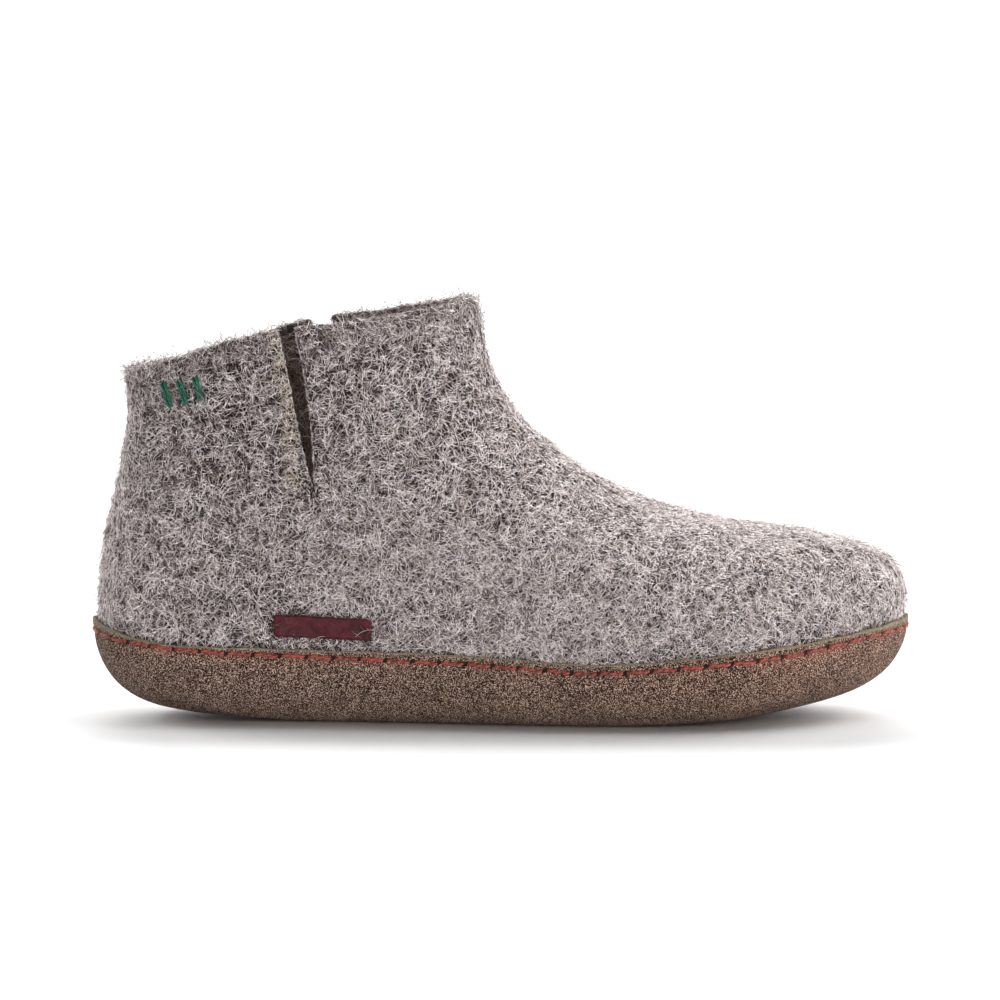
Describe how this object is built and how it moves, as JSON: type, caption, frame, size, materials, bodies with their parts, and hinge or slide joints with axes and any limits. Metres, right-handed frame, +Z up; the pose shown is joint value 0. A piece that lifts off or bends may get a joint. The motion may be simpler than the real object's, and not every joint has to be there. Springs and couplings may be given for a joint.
{
  "type": "wool slipper boot",
  "caption": "Felted wool ankle boot for indoors, with a slit in each side of the collar, a sewn suede cup sole and a small leather label.",
  "frame": {"origin": "middle of the boot's footprint box, on the floor plane", "axes": "+X to the toe, +Y to the inner side of the foot, +Z up"},
  "size_m": [0.271, 0.1022, 0.1386],
  "materials": {
    "felt": "matt, hairy",
    "suede": "matt nap",
    "insole_felt": "matt",
    "label_leather": "satin"
  },
  "bodies": {
    "root": {"felt_upper": "felt", "suede_sole": "suede", "felt_insole": "insole_felt", "leather_label": "label_leather"}
  },
  "joints": []
}
